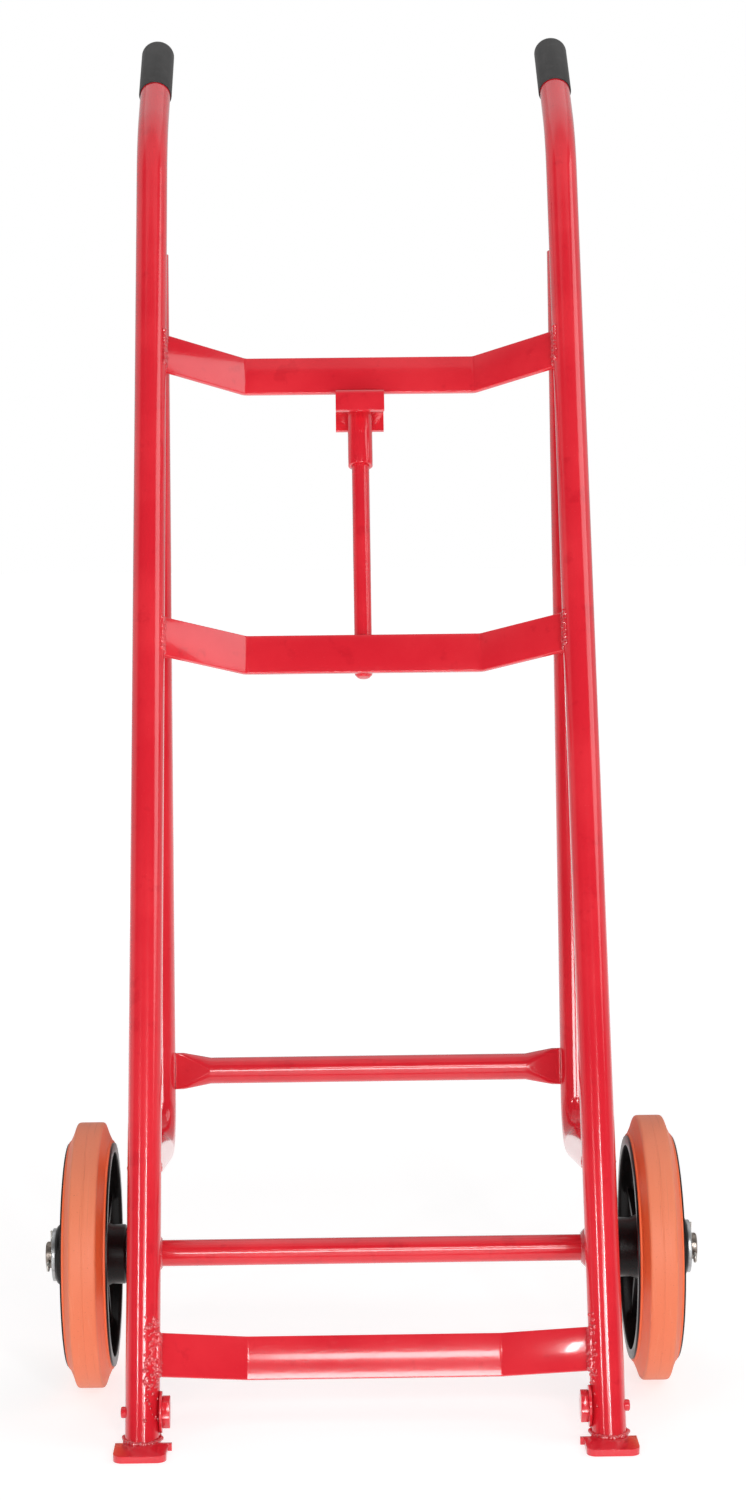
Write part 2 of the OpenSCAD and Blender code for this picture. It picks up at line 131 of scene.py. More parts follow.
class Sheet:
    """A material under construction: its nodes, and its Principled shader."""

    def __init__(self, name: str) -> None:
        """Start a material with an empty tree, a shader and an output."""
        self.material = bpy.data.materials.new(name)
        self.material.use_nodes = True
        self.tree = self.material.node_tree
        self.tree.nodes.clear()
        output = self.tree.nodes.new("ShaderNodeOutputMaterial")
        self.shader = self.tree.nodes.new("ShaderNodeBsdfPrincipled")
        self.tree.links.new(self.shader.outputs[0], output.inputs[0])

    def feed(self, socket: bpy.types.NodeSocket, value: Any) -> None:
        """Fill an input socket.

        Args:
            socket: the input socket.
            value: a wire to link, or a plain value to set.
        """
        if isinstance(value, Wire):
            self.tree.links.new(value.socket, socket)
        elif isinstance(value, (tuple, list)) and len(value) == 3 and socket.type == "RGBA":
            socket.default_value = (*value, 1.0)
        else:
            socket.default_value = value

    def node(self, kind: str, settings: dict[str, Any], inputs: Any, output: Any = 0) -> Wire:
        """Add any node.

        Args:
            kind: the node's type name.
            settings: properties set before its inputs.
            inputs: values or wires by socket name or place.
            output: name or place of the output to return.

        Returns:
            The chosen output.
        """
        made = self.tree.nodes.new(kind)
        for key, value in settings.items():
            setattr(made, key, value)
        pairs = inputs.items() if isinstance(inputs, dict) else enumerate(inputs)
        for key, value in pairs:
            self.feed(made.inputs[key], value)
        return Wire(self, made.outputs[output])

    def where(self) -> Wire:
        """Object coordinates."""
        return self.node("ShaderNodeTexCoord", {}, {}, "Object")

    def mapped(self, centre: Point, scale: Point, turn: Point = (0.0, 0.0, 0.0)) -> Wire:
        """Move, turn and stretch the object coordinates.

        Args:
            centre: the point of the piece that becomes the origin.
            scale: stretch along each axis.
            turn: angle about each axis, in radians.

        Returns:
            The changed coordinates.
        """
        moved = self.node("ShaderNodeVectorMath", {"operation": "SUBTRACT"}, [self.where(), tuple(centre)])
        inputs = {"Vector": moved, "Rotation": tuple(turn), "Scale": tuple(scale)}
        return self.node("ShaderNodeMapping", {"vector_type": "POINT"}, inputs)

    def stretched(self, vector: Wire, scale: Point) -> Wire:
        """A vector stretched along each axis."""
        return self.node("ShaderNodeMapping", {}, {"Vector": vector, "Scale": scale})

    def axes(self, vector: Wire) -> tuple[Wire, Wire, Wire]:
        """Split a vector.

        Args:
            vector: the wire that carries it.

        Returns:
            Its three numbers.
        """
        split = self.node("ShaderNodeSeparateXYZ", {}, [vector]).socket.node
        x, y, z = split.outputs
        return Wire(self, x), Wire(self, y), Wire(self, z)

    def joined(self, x: Any, y: Any, z: Any) -> Wire:
        """A vector from three numbers."""
        return self.node("ShaderNodeCombineXYZ", {}, [x, y, z])

    def noise(
        self, at: Wire, scale: float, detail: float = 3.0, rough: float = 0.5, warp: float = 0.0
    ) -> Wire:
        """Noise from 0 to 1."""
        inputs = {"Vector": at, "Scale": scale, "Detail": detail, "Roughness": rough, "Distortion": warp}
        return self.node("ShaderNodeTexNoise", {}, inputs, "Fac")

    def blend(self, factor: Any, first: Any, second: Any) -> Wire:
        """Colour mix from first to second."""
        return self.node("ShaderNodeMix", {"data_type": "RGBA"}, {0: factor, 6: first, 7: second}, 2)

    def bump(self, height: Wire, depth: float, strength: float = 1.0, under: Wire | None = None) -> Wire:
        """Raise a surface relief.

        Args:
            height: the pattern, from 0 to 1.
            depth: its depth in metres.
            strength: how much of it shows.
            under: an earlier relief to lie on.

        Returns:
            The relief's normal.
        """
        inputs = {"Height": height, "Distance": depth, "Strength": strength}
        if under is not None:
            inputs["Normal"] = under
        return self.node("ShaderNodeBump", {}, inputs)

    def coat(self, **sockets: Any) -> Material:
        """Feed the shader's sockets.

        Args:
            sockets: values or wires by socket name, with underscores for spaces.

        Returns:
            The finished material.
        """
        for key, value in sockets.items():
            self.feed(self.shader.inputs[key.replace("_", " ")], value)
        return self.material


# ---------------------------------------------------------------- finishes
@dataclass(frozen=True)
class RedEnamel:
    """Glossy sprayed enamel over welded tube."""

    name: str = "red_enamel"
    body: Colour = (0.70, 0.016, 0.030)
    light: Colour = (0.78, 0.028, 0.042)
    deep: Colour = (0.52, 0.007, 0.018)
    dusty: Colour = (0.75, 0.35, 0.33)
    peel: float = 0.00008
    peel_scale: float = 330.0
    gloss: float = 0.16
    coat: float = 0.55
    coat_rough: float = 0.06
    shine: float = 0.5

    def tones(self, sheet: Sheet) -> tuple[Wire, Wire, Wire]:
        """Build the enamel's look.

        Args:
            sheet: the material being built.

        Returns:
            Its colour, roughness and relief.
        """
        at = sheet.where()
        cloud = sheet.noise(at, 9.0, 4.0, 0.55)
        thin = sheet.noise(at, 42.0, 3.0, 0.6).step(0.58, 0.72)
        colour = sheet.blend(cloud.step(0.35, 0.7), self.body, self.light)
        colour = sheet.blend(thin * 0.35, colour, self.deep)
        dust = sheet.noise(at, 900.0, 2.0, 0.7).step(0.70, 0.78)
        colour = sheet.blend(dust * 0.16, colour, self.dusty)
        scratch_at = sheet.mapped((0, 0, 0), (60.0, 900.0, 25.0), (0.4, 0.2, 0.7))
        scratch = sheet.noise(scratch_at, 1.0, 2.0, 0.5, 0.4).step(0.68, 0.72)
        rough = cloud * 0.08 + (self.gloss - 0.04) + dust * 0.2 + scratch * 0.10
        peel = sheet.noise(at, self.peel_scale, 2.0, 0.45)
        sag = sheet.noise(at, 38.0, 2.0, 0.5)
        relief = sheet.bump(sag, 0.0003, 0.5)
        relief = sheet.bump(peel, self.peel, 0.8, relief)
        relief = sheet.bump(dust - scratch * 0.4, 0.00002, 0.6, relief)
        return colour, rough, relief

    def sprayed(self, sheet: Sheet, colour: Wire, rough: Wire, relief: Wire) -> Material:
        """Finish a sheet with these tones under the enamel's own clear coat."""
        return sheet.coat(
            Base_Color=colour,
            Roughness=rough,
            Normal=relief,
            Coat_Weight=self.coat,
            Coat_Roughness=self.coat_rough,
            Specular_IOR_Level=self.shine,
        )

    def material(self) -> Material:
        """Make the material."""
        sheet = Sheet(self.name)
        colour, rough, relief = self.tones(sheet)
        return self.sprayed(sheet, colour, rough, relief)


@dataclass(frozen=True)
class WeldEnamel(RedEnamel):
    """The same enamel where it runs over rippled weld metal and soot."""

    name: str = "weld_enamel"
    body: Colour = (0.54, 0.010, 0.022)
    gloss: float = 0.12
    coat: float = 1.0
    coat_rough: float = 0.03
    shine: float = 0.9
    ripple: float = 0.0006

    def material(self) -> Material:
        """Make the material."""
        sheet = Sheet(self.name)
        colour, rough, relief = self.tones(sheet)
        lump = sheet.noise(sheet.where(), 560.0, 3.0, 0.6, 0.5)
        relief = sheet.bump(lump, self.ripple, 0.7, relief)
        colour = sheet.blend(lump.step(0.62, 0.8) * 0.5, colour, self.deep)
        return self.sprayed(sheet, colour, rough, relief)


@dataclass(frozen=True)
class PaintedAxle(RedEnamel):
    """Enamel between the rails and bare oxidised steel at the wheels."""

    name: str = "painted_axle"
    coat: float = 0.5
    coat_rough: float = 0.08
    paint_end: float = 0.2165
    steel: Colour = (0.30, 0.26, 0.23)
    stain: Colour = (0.10, 0.065, 0.05)

    def material(self) -> Material:
        """Make the material."""
        sheet = Sheet(self.name)
        colour, rough, relief = self.tones(sheet)
        at = sheet.where()
        across = abs(sheet.axes(at)[0])
        ragged = across + sheet.noise(at, 120.0, 3.0) * 0.004
        bare = ragged.step(self.paint_end, self.paint_end + 0.003)
        rust = sheet.noise(at, 150.0, 5.0, 0.65).step(0.42, 0.7)
        steel = sheet.blend(rust, self.steel, self.stain)
        turned = sheet.noise(sheet.mapped((0, 0, 0), (1500.0, 20.0, 20.0)), 1.0, 2.0)
        relief = sheet.bump(turned * bare, 0.00003, 0.7, relief)
        return sheet.coat(
            Base_Color=sheet.blend(bare, colour, steel),
            Roughness=rough * (1.0 - bare) + bare * (rust * 0.25 + 0.32),
            Metallic=bare * (1.0 - rust * 0.55),
            Coat_Weight=(1.0 - bare) * self.coat,
            Normal=relief,
            Coat_Roughness=self.coat_rough,
        )


@dataclass(frozen=True)
class TyreRubber:
    """Orange moulded tyre: pale worn tread, paler still on top as a painted highlight, deep flanks, flow
    lines, a mould line and painted shade at the bottom.
    """

    name: str
    centre: Point
    tread: Colour = (0.78, 0.190, 0.085)
    flank: Colour = (0.86, 0.150, 0.045)
    pale: Colour = (0.82, 0.27, 0.15)
    grime_and_shade: Colour = (0.30, 0.07, 0.03)
    tread_radius: float = 0.1255
    outer_radius: float = 0.127
    mould_half: float = 0.0003
    mould_height: float = 0.0003

    def material(self) -> Material:
        """Make the material."""
        sheet = Sheet(self.name)
        x, y, z = sheet.axes(sheet.mapped(self.centre, (1, 1, 1)))
        radius = (y * y + z * z).math("SQRT")
        turn = y.math("ARCTAN2", z)
        around = sheet.joined(x, turn * self.outer_radius, radius)
        flow = sheet.noise(sheet.stretched(around, (260.0, 26.0, 90.0)), 1.0, 4.0, 0.6, 0.8)
        streak = sheet.noise(sheet.stretched(around, (700.0, 9.0, 200.0)), 1.0, 3.0, 0.6)
        speck = sheet.noise(sheet.where(), 700.0, 3.0, 0.6)
        on_tread = radius.step(self.tread_radius - 0.002, self.tread_radius)
        up = z.step(0.02, 0.12)
        colour = sheet.blend(on_tread, self.flank, self.tread)
        # painted highlight: the top of the tread is blended towards the pale colour, as if lit from above
        colour = sheet.blend(up * on_tread * 0.55, colour, self.pale)
        colour = sheet.blend(flow.step(0.52, 0.75) * 0.35, colour, self.pale)
        colour = sheet.blend(streak.step(0.6, 0.75) * 0.28, colour, self.grime_and_shade)
        colour = sheet.blend(speck.step(0.64, 0.72) * 0.4, colour, self.grime_and_shade)
        # painted shade: the bottom of the tyre, where it meets the floor, is darkened with the same colour as
        # the grime streaks and specks
        floor_shade = z.step(-0.110, -0.124)
        colour = sheet.blend(floor_shade * 0.3, colour, self.grime_and_shade)
        rough = flow * 0.18 + 0.42
        scuff = sheet.noise(sheet.where(), 1500.0, 2.0, 0.6)
        relief = sheet.bump(flow, 0.0003, 0.45)
        relief = sheet.bump(scuff, 0.00006, 0.6, relief)
        relief = sheet.bump(abs(x).step(0.0007, self.mould_half), self.mould_height, 0.8, relief)
        return sheet.coat(Base_Color=colour, Roughness=rough, Normal=relief, Specular_IOR_Level=0.45)


@dataclass(frozen=True)
class CastBlack:
    """Black paint over a sand-cast wheel centre."""

    name: str = "cast_black"
    body: Colour = (0.006, 0.005, 0.005)
    worn: Colour = (0.018, 0.014, 0.014)
    dusty: Colour = (0.06, 0.05, 0.05)

    def material(self) -> Material:
        """Make the material."""
        sheet = Sheet(self.name)
        at = sheet.where()
        sand = sheet.noise(at, 620.0, 4.0, 0.65)
        cloud = sheet.noise(at, 30.0, 4.0, 0.6)
        dust = sheet.noise(at, 75.0, 5.0, 0.7).step(0.55, 0.8)
        colour = sheet.blend(cloud.step(0.4, 0.75) * 0.5, self.body, self.worn)
        colour = sheet.blend(dust * 0.2, colour, self.dusty)
        relief = sheet.bump(cloud, 0.0008, 0.35)
        relief = sheet.bump(sand, 0.00016, 0.7, relief)
        rough = sand * 0.2 + dust * 0.2 + 0.20
        return sheet.coat(Base_Color=colour, Roughness=rough, Normal=relief, Specular_IOR_Level=0.22)


class Plating(Enum):
    """Bare or plated steel, as colour, tarnish, lowest roughness and metal share of the tarnish."""

    ZINC = ((0.50, 0.51, 0.52), (0.26, 0.25, 0.23), 0.30, 0.75)
    GROUND = ((0.46, 0.45, 0.43), (0.20, 0.16, 0.11), 0.22, 0.5)
    PIN = ((0.62, 0.60, 0.56), (0.22, 0.15, 0.10), 0.28, 0.5)


@dataclass(frozen=True)
class PlatedSteel:
    """Plated hardware with turning marks and a little tarnish."""

    name: str
    plating: Plating
    centre: Point = (0.0, 0.0, 0.127)

    def material(self) -> Material:
        """Make the material."""
        bright, tarnish, smooth, metal = self.plating.value
        sheet = Sheet(self.name)
        at = sheet.where()
        _, y, z = sheet.axes(sheet.mapped(self.centre, (1, 1, 1)))
        radius = (y * y + z * z).math("SQRT")
        rings = sheet.noise(sheet.joined(radius * 2400.0, 0.0, 0.0), 1.0, 2.0)
        cloud = sheet.noise(at, 160.0, 5.0, 0.65).step(0.45, 0.75)
        pits = sheet.noise(at, 1500.0, 3.0, 0.6)
        colour = sheet.blend(cloud * 0.7, bright, tarnish)
        relief = sheet.bump(rings, 0.00003, 0.5)
        relief = sheet.bump(pits, 0.00003, 0.5, relief)
        return sheet.coat(
            Base_Color=colour,
            Roughness=cloud * 0.22 + rings * 0.08 + smooth,
            Metallic=1.0 - cloud * (1.0 - metal),
            Normal=relief,
        )


@dataclass(frozen=True)
class DippedVinyl:
    """Dark grey dipped grip with pale scuffs."""

    name: str = "dipped_vinyl"
    body: Colour = (0.026, 0.025, 0.025)
    worn: Colour = (0.070, 0.067, 0.067)

    def material(self) -> Material:
        """Make the material."""
        sheet = Sheet(self.name)
        at = sheet.where()
        cloud = sheet.noise(at, 55.0, 4.0, 0.6)
        grain = sheet.noise(at, 1300.0, 3.0, 0.6)
        scuff = sheet.noise(sheet.mapped((0, 0, 0), (300.0, 40.0, 90.0)), 1.0, 3.0, 0.6).step(0.58, 0.72)
        colour = sheet.blend(cloud.step(0.35, 0.75) * 0.5, self.body, self.worn)
        colour = sheet.blend(scuff * 0.25, colour, self.worn)
        relief = sheet.bump(cloud, 0.0004, 0.4)
        relief = sheet.bump(grain, 0.00005, 0.6, relief)
        rough = cloud * 0.2 + 0.36 + scuff * 0.1
        return sheet.coat(Base_Color=colour, Roughness=rough, Normal=relief, Specular_IOR_Level=0.4)


@dataclass(frozen=True)
class PaleFloor:
    """Plain pale studio floor, which glows a little more away from the truck."""

    name: str = "pale_floor"
    shade: Colour = (0.44, 0.44, 0.44)
    tint: Colour = (0.47, 0.47, 0.47)
    near_glow: Colour = (0.70, 0.70, 0.70)
    far_glow: Colour = (0.85, 0.85, 0.85)
    near: float = 0.5
    far: float = 2.4

    def material(self) -> Material:
        """Make the material."""
        sheet = Sheet(self.name)
        grain = sheet.noise(sheet.where(), 12.0, 5.0, 0.6)
        x, y, _ = sheet.axes(sheet.where())
        away = (x * x + y * y).math("SQRT").step(self.near, self.far)
        return sheet.coat(
            Base_Color=sheet.blend(grain, self.shade, self.tint),
            Roughness=grain * 0.1 + 0.5,
            Specular_IOR_Level=0.1,
            Emission_Color=sheet.blend(away, self.near_glow, self.far_glow),
            Emission_Strength=1.0,
        )


# ---------------------------------------------------------------- bench: how a mesh is made
class Bench:
    """Modelling operators gathered into the moves that this truck's pieces need."""

    seam: float = 0.000004
    tube_seam: float = 0.000002
    ring_seam: float = 0.000003
    flat_below: float = math.radians(0.6)
    soften_above: float = math.radians(40)
    shade_degrees: float = 38.0
    puddle_pitch: float = 0.0032
    puddle_wander: float = 0.16
    puddle_sizes: tuple[float, float] = (0.82, 1.12)
    puddle_grain: float = 0.24
    puddle_shade: float = 70.0

    @staticmethod
    def clear() -> None:
        """Deselect everything and leave edit mode."""
        if bpy.context.mode != "OBJECT":
            bpy.ops.object.mode_set(mode="OBJECT")
        bpy.ops.object.select_all(action="DESELECT")

    @staticmethod
    def take(*pieces: Piece) -> None:
        """Select pieces.

        Args:
            pieces: what to select, the first one active.
        """
        Bench.clear()
        for piece in pieces:
            piece.select_set(True)
        bpy.context.view_layer.objects.active = pieces[0]

    @staticmethod
    def settle(piece: Piece, place: Matrix | None = None) -> None:
        """Bring a piece's place into its mesh.

        Args:
            piece: the piece.
            place: where to move it first, if anywhere.
        """
        if place is not None:
            piece.matrix_world = place @ piece.matrix_world
        Bench.take(piece)
        bpy.ops.object.transform_apply(location=True, rotation=True, scale=True)

    @staticmethod
    def smooth(piece: Piece, degrees: float = 35.0) -> None:
        """Point faces outwards and shade them smooth.

        Args:
            piece: the piece.
            degrees: the sharpest angle that is still shaded smooth.
        """
        Bench.take(piece)
        bpy.ops.object.mode_set(mode="EDIT")
        bpy.ops.mesh.select_all(action="SELECT")
        bpy.ops.mesh.remove_doubles(threshold=Bench.seam)
        bpy.ops.mesh.normals_make_consistent(inside=False)
        bpy.ops.object.mode_set(mode="OBJECT")
        bpy.ops.object.shade_smooth_by_angle(angle=math.radians(degrees))

    @staticmethod
    def apply(piece: Piece, kind: str, **settings: Any) -> None:
        """Add a modifier and apply it.

        Args:
            piece: the piece.
            kind: the modifier's type name.
            settings: its settings.
        """
        Bench.take(piece)
        modifier = piece.modifiers.new(kind.lower(), kind)
        for key, value in settings.items():
            setattr(modifier, key, value)
        bpy.ops.object.modifier_apply(modifier=modifier.name)

    @staticmethod
    def tube(name: str, radius: float, moves: Sequence[tuple], start: Vector, segments: int) -> Piece:
        """Extrude and spin a circle into a bent tube that starts upwards.

        Args:
            name: the piece's name.
            radius: outside radius.
            moves: ("go", vector) for a straight run, or ("turn", angle, centre, axis, steps) for a bend.
            start: centre of the first circle.
            segments: points round the tube.

        Returns:
            A closed tube with capped ends.
        """
        Bench.clear()
        bpy.ops.mesh.primitive_circle_add(vertices=segments, radius=radius, location=start)
        piece = bpy.context.object
        piece.name = name
        Bench.settle(piece)
        bpy.ops.object.mode_set(mode="EDIT")
        bpy.ops.mesh.select_all(action="SELECT")
        for move in moves:
            if move[0] == "go":
                bpy.ops.mesh.extrude_region_move(TRANSFORM_OT_translate={"value": tuple(move[1])})
            else:
                _, angle, centre, axis, steps = move
                bpy.ops.mesh.spin(steps=steps, angle=angle, center=tuple(centre), axis=tuple(axis))
        bpy.ops.mesh.select_all(action="SELECT")
        bpy.ops.mesh.remove_doubles(threshold=Bench.tube_seam)
        bpy.ops.mesh.fill_holes(sides=0)
        bpy.ops.object.mode_set(mode="OBJECT")
        return piece

    @staticmethod
    def lathe(name: str, profile: Sequence[tuple[float, float]], segments: int) -> Piece:
        """Spin a closed profile round the X axis into a ring.

        Args:
            name: the piece's name.
            profile: points along the axis and out from it.
            segments: steps round the axis.

        Returns:
            The turned ring, its axis on world X.
        """
        Bench.clear()
        bpy.ops.mesh.primitive_circle_add(vertices=len(profile), radius=1.0)
        piece = bpy.context.object
        piece.name = name
        for vertex, (along, radius) in zip(piece.data.vertices, profile):
            vertex.co = (along, 0.0, radius)
        bpy.ops.object.mode_set(mode="EDIT")
        bpy.ops.mesh.select_mode(type="VERT")
        bpy.ops.mesh.select_all(action="SELECT")
        bpy.ops.mesh.spin(steps=segments, angle=math.tau, center=(0, 0, 0), axis=(1, 0, 0))
        bpy.ops.mesh.select_all(action="SELECT")
        bpy.ops.mesh.remove_doubles(threshold=Bench.ring_seam)
        bpy.ops.object.mode_set(mode="OBJECT")
        return piece

    @staticmethod
    def merged(node: str, name: str, bevel: float = 0.0, segments: int = 2) -> Piece:
        """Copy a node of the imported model, weld its triangles and soften its edges.

        Args:
            node: the node to copy.
            name: the copy's name.
            bevel: width of the softened edge, in metres.
            segments: faces across the softened edge.

        Returns:
            The copy, ready for a material.
        """
        source = FRAME["nodes"][node]
        piece = bpy.data.objects.new(name, source.data.copy())
        bpy.context.scene.collection.objects.link(piece)
        Bench.take(piece)
        bpy.ops.mesh.customdata_custom_splitnormals_clear()
        bpy.ops.object.mode_set(mode="EDIT")
        bpy.ops.mesh.select_all(action="SELECT")
        bpy.ops.mesh.remove_doubles(threshold=Bench.seam)
        bpy.ops.mesh.dissolve_limited(angle_limit=Bench.flat_below)
        bpy.ops.object.mode_set(mode="OBJECT")
        if bevel:
            settings = {"limit_method": "ANGLE", "angle_limit": Bench.soften_above, "harden_normals": False}
            Bench.apply(piece, "BEVEL", width=bevel, segments=segments, **settings)
        Bench.smooth(piece, Bench.shade_degrees)
        return piece

    @staticmethod
    def bead(name: str, path: Sequence[Vector], radius: float, seed: int) -> Piece:
        """Lay a weld bead of overlapping puddles along a path.

        Args:
            name: the bead's name.
            path: the corner points of the bead's line.
            radius: half the bead's width.
            seed: starts the bead's own random draws.

        Returns:
            One closed lumpy bead.
        """
        draw = random.Random(seed)
        spots: list[Vector] = []
        for first, second in zip(path, path[1:]):
            count = max(1, round((second - first).length / Bench.puddle_pitch))
            spots += [first.lerp(second, i / count) for i in range(count)]
        spots.append(path[-1])
        drops = []
        for spot in spots:
            way = Vector((draw.uniform(-1, 1), draw.uniform(-1, 1), draw.uniform(-1, 1)))
            shift = way * radius * Bench.puddle_wander
            drops.append((spot + shift, radius * draw.uniform(*Bench.puddle_sizes)))
        return Bench.drops(name, drops, radius * Bench.puddle_grain)

    @staticmethod
    def drops(name: str, drops: Sequence[tuple[Vector, float]], grain: float = 0.0004) -> Piece:
        """Melt round drops together.

        Args:
            name: the piece's name.
            drops: centre and radius of each drop.
            grain: size of the melted surface's grain.

        Returns:
            The closed lumpy piece.
        """
        puddles = []
        for spot, size in drops:
            Bench.clear()
            bpy.ops.mesh.primitive_ico_sphere_add(subdivisions=2, radius=size, location=spot)
            puddles.append(bpy.context.object)
        Bench.take(*puddles)
        bpy.ops.object.join()
        piece = bpy.context.object
        piece.name = name
        Bench.settle(piece)
        Bench.apply(piece, "REMESH", mode="VOXEL", voxel_size=grain)
        Bench.apply(piece, "SMOOTH", factor=0.5, iterations=2)
        Bench.smooth(piece, Bench.puddle_shade)
        return piece


# ---------------------------------------------------------------- the truck
@dataclass(frozen=True)
class Stance:
    """How the truck's own frame (across, back, up the rails) leans over the floor."""

    lean: float = math.radians(23.0)
    axle_back: float = 0.130
    wheel_radius: float = 0.127
    toe_top: float = 0.00635

    @property
    def axle_up(self) -> float:
        """Height of the axle along the rail."""
        return (self.wheel_radius - self.toe_top + self.axle_back * math.sin(self.lean)) / math.cos(self.lean)

    @property
    def matrix(self) -> Matrix:
        """From the truck's own frame to the floor's."""
        return (
            Matrix.Translation((0, 0, self.wheel_radius))
            @ Matrix.Rotation(-self.lean, 4, "X")
            @ Matrix.Translation((0, -self.axle_back, -self.axle_up))
        )

    def spot(self, across: float, back: float, up: float) -> Vector:
        """A point of the truck's own frame, in the floor's frame."""
        return self.matrix @ Vector((across, back, up))


STANCE = Stance()


@dataclass(frozen=True)
class TubeSizes:
    """Sizes of the rails, handles and rear legs, in the truck's own frame."""

    radius: float = 0.015875
    across: float = 0.2127
    handle_up: float = 1.322
    handle_angle: float = math.radians(30.0)
    handle_bend: float = 0.150
    handle_length: float = 0.176
    foot_spare: float = 0.03
    leg_top_back: float = 0.030
    leg_top_up: float = 1.205
    leg_angle: float = math.radians(14.0)
    run_up: float = 0.248
    leg_bend: float = 0.048
    run_sunk: float = 0.012

    @property
    def leg_matrix(self) -> Matrix:
        """Frame of a rear leg: origin where its bottom run meets the rail, Y along the run, Z up the leg."""
        corner = STANCE.matrix @ Matrix.Translation((0, 0, self.run_up))
        return corner @ Matrix.Rotation(self.leg_angle, 4, "X")

    @property
    def leg_reach(self) -> tuple[float, float]:
        """Length of the bottom run and of the leg itself, corner to end."""
        rise = self.leg_top_up - self.run_up
        along = self.leg_top_back * math.cos(self.leg_angle) + rise * math.sin(self.leg_angle)
        height = rise * math.cos(self.leg_angle) - self.leg_top_back * math.sin(self.leg_angle)
        return along, height


TUBE = TubeSizes()


@dataclass
class Paintwork:
    """All materials, made once."""

    enamel: Material = field(init=False)
    weld: Material = field(init=False)
    axle: Material = field(init=False)
    cast: Material = field(init=False)
    vinyl: Material = field(init=False)
    zinc: Material = field(init=False)
    ground: Material = field(init=False)
    pin: Material = field(init=False)
    tyres: dict[str, Material] = field(init=False)

    def __post_init__(self) -> None:
        """Make each finish's material."""
        self.enamel = RedEnamel().material()
        self.weld = WeldEnamel().material()
        self.axle = PaintedAxle().material()
        self.cast = CastBlack().material()
        self.vinyl = DippedVinyl().material()
        self.zinc = PlatedSteel("zinc_plate", Plating.ZINC).material()
        self.ground = PlatedSteel("ground_steel", Plating.GROUND).material()
        self.pin = PlatedSteel("pin_steel", Plating.PIN).material()
        self.tyres = {}
        for side, sign in SIDES.items():
            centre = (sign * Wheels.middle, 0.0, STANCE.wheel_radius)
            self.tyres[side] = TyreRubber(f"{side}_tyre_rubber", centre).material()


@dataclass
class Assembly:
    paint: Paintwork

    def dress(
        self, piece: Piece, material: Material, body: str, slot: str, replaces: Iterable[str] = ()
    ) -> None:
        """Args:
            piece: the piece.
            material: its material.
            body: the moving body that carries it.
            slot: the name of its paint slot; not used.
            replaces: the nodes that it stands for.
        """
        piece.data.materials.clear()
        piece.data.materials.append(material)
        for polygon in piece.data.polygons:
            polygon.material_index = 0
        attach(piece, body)
        nodes = list(replaces)
        if nodes:
            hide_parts(*nodes)
        LOG.info("%s: %d faces on %s", piece.name, len(piece.data.polygons), body)

    def finish_node(self, node: str, material: Material) -> None:
        """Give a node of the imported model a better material.

        Args:
            node: the node's name.
            material: its new material.
        """
        target = FRAME["nodes"][node]
        target.data.materials.clear()
        target.data.materials.append(material)
        LOG.info("%s: node finished", node)


@dataclass
class Rails(Assembly):
    """The two rails with their bent handles, and the rear legs."""

    rail_segments: int = 80
    leg_segments: int = 72
    handle_steps: int = 14
    leg_steps: int = 22

    def rail(self, side: str) -> None:
        """Spin one rail: up, round the handle bend and out under the grip, its foot cut level with the toe.

        Args:
            side: left or right.
        """
        run = TUBE.handle_bend * math.tan(TUBE.handle_angle / 2)
        tail = TUBE.handle_length - run
        across = SIDES[side] * TUBE.across
        start = Vector((across, 0.0, -TUBE.foot_spare))
        centre = Vector((across, TUBE.handle_bend, TUBE.handle_up - run))
        along = Vector((0.0, math.sin(TUBE.handle_angle), math.cos(TUBE.handle_angle)))
        moves = [
            ("go", (0, 0, TUBE.handle_up - run + TUBE.foot_spare)),
            ("turn", TUBE.handle_angle, centre, (1, 0, 0), self.handle_steps),
            ("go", along * tail),
        ]
        piece = Bench.tube(f"{side}_rail_tube", TUBE.radius, moves, start, self.rail_segments)
        Bench.settle(piece, STANCE.matrix)
        level = {"plane_co": (0, 0, STANCE.toe_top), "plane_no": (0, 0, 1)}
        bpy.ops.object.mode_set(mode="EDIT")
        bpy.ops.mesh.select_all(action="SELECT")
        bpy.ops.mesh.bisect(**level, use_fill=True, clear_inner=True, clear_outer=False)
        bpy.ops.object.mode_set(mode="OBJECT")
        Bench.smooth(piece)
        self.dress(piece, self.paint.enamel, "frame", "frame_paint", [f"{side}_rail"])

    def leg(self, side: str) -> None:
        """Spin one rear leg: down from the rail, round its bend and forward to the rail again.

        Args:
            side: left or right.
        """
        along, height = TUBE.leg_reach
        across = SIDES[side] * TUBE.across
        centre = Vector((across, along - TUBE.leg_bend, TUBE.leg_bend))
        moves = [
            ("go", (0, 0, -(height - TUBE.leg_bend))),
            ("turn", math.pi / 2, centre, (1, 0, 0), self.leg_steps),
            ("go", (0, -(along - TUBE.leg_bend - TUBE.run_sunk), 0)),
        ]
        start = Vector((across, along, height))
        piece = Bench.tube(f"{side}_leg_tube", TUBE.radius, moves, start, self.leg_segments)
        Bench.settle(piece, TUBE.leg_matrix)
        Bench.smooth(piece)
        self.dress(piece, self.paint.enamel, "frame", "frame_paint", [f"{side}_rear_leg"])

    def build(self) -> None:
        """Build both sides."""
        for side in SIDES:
            self.rail(side)
            self.leg(side)


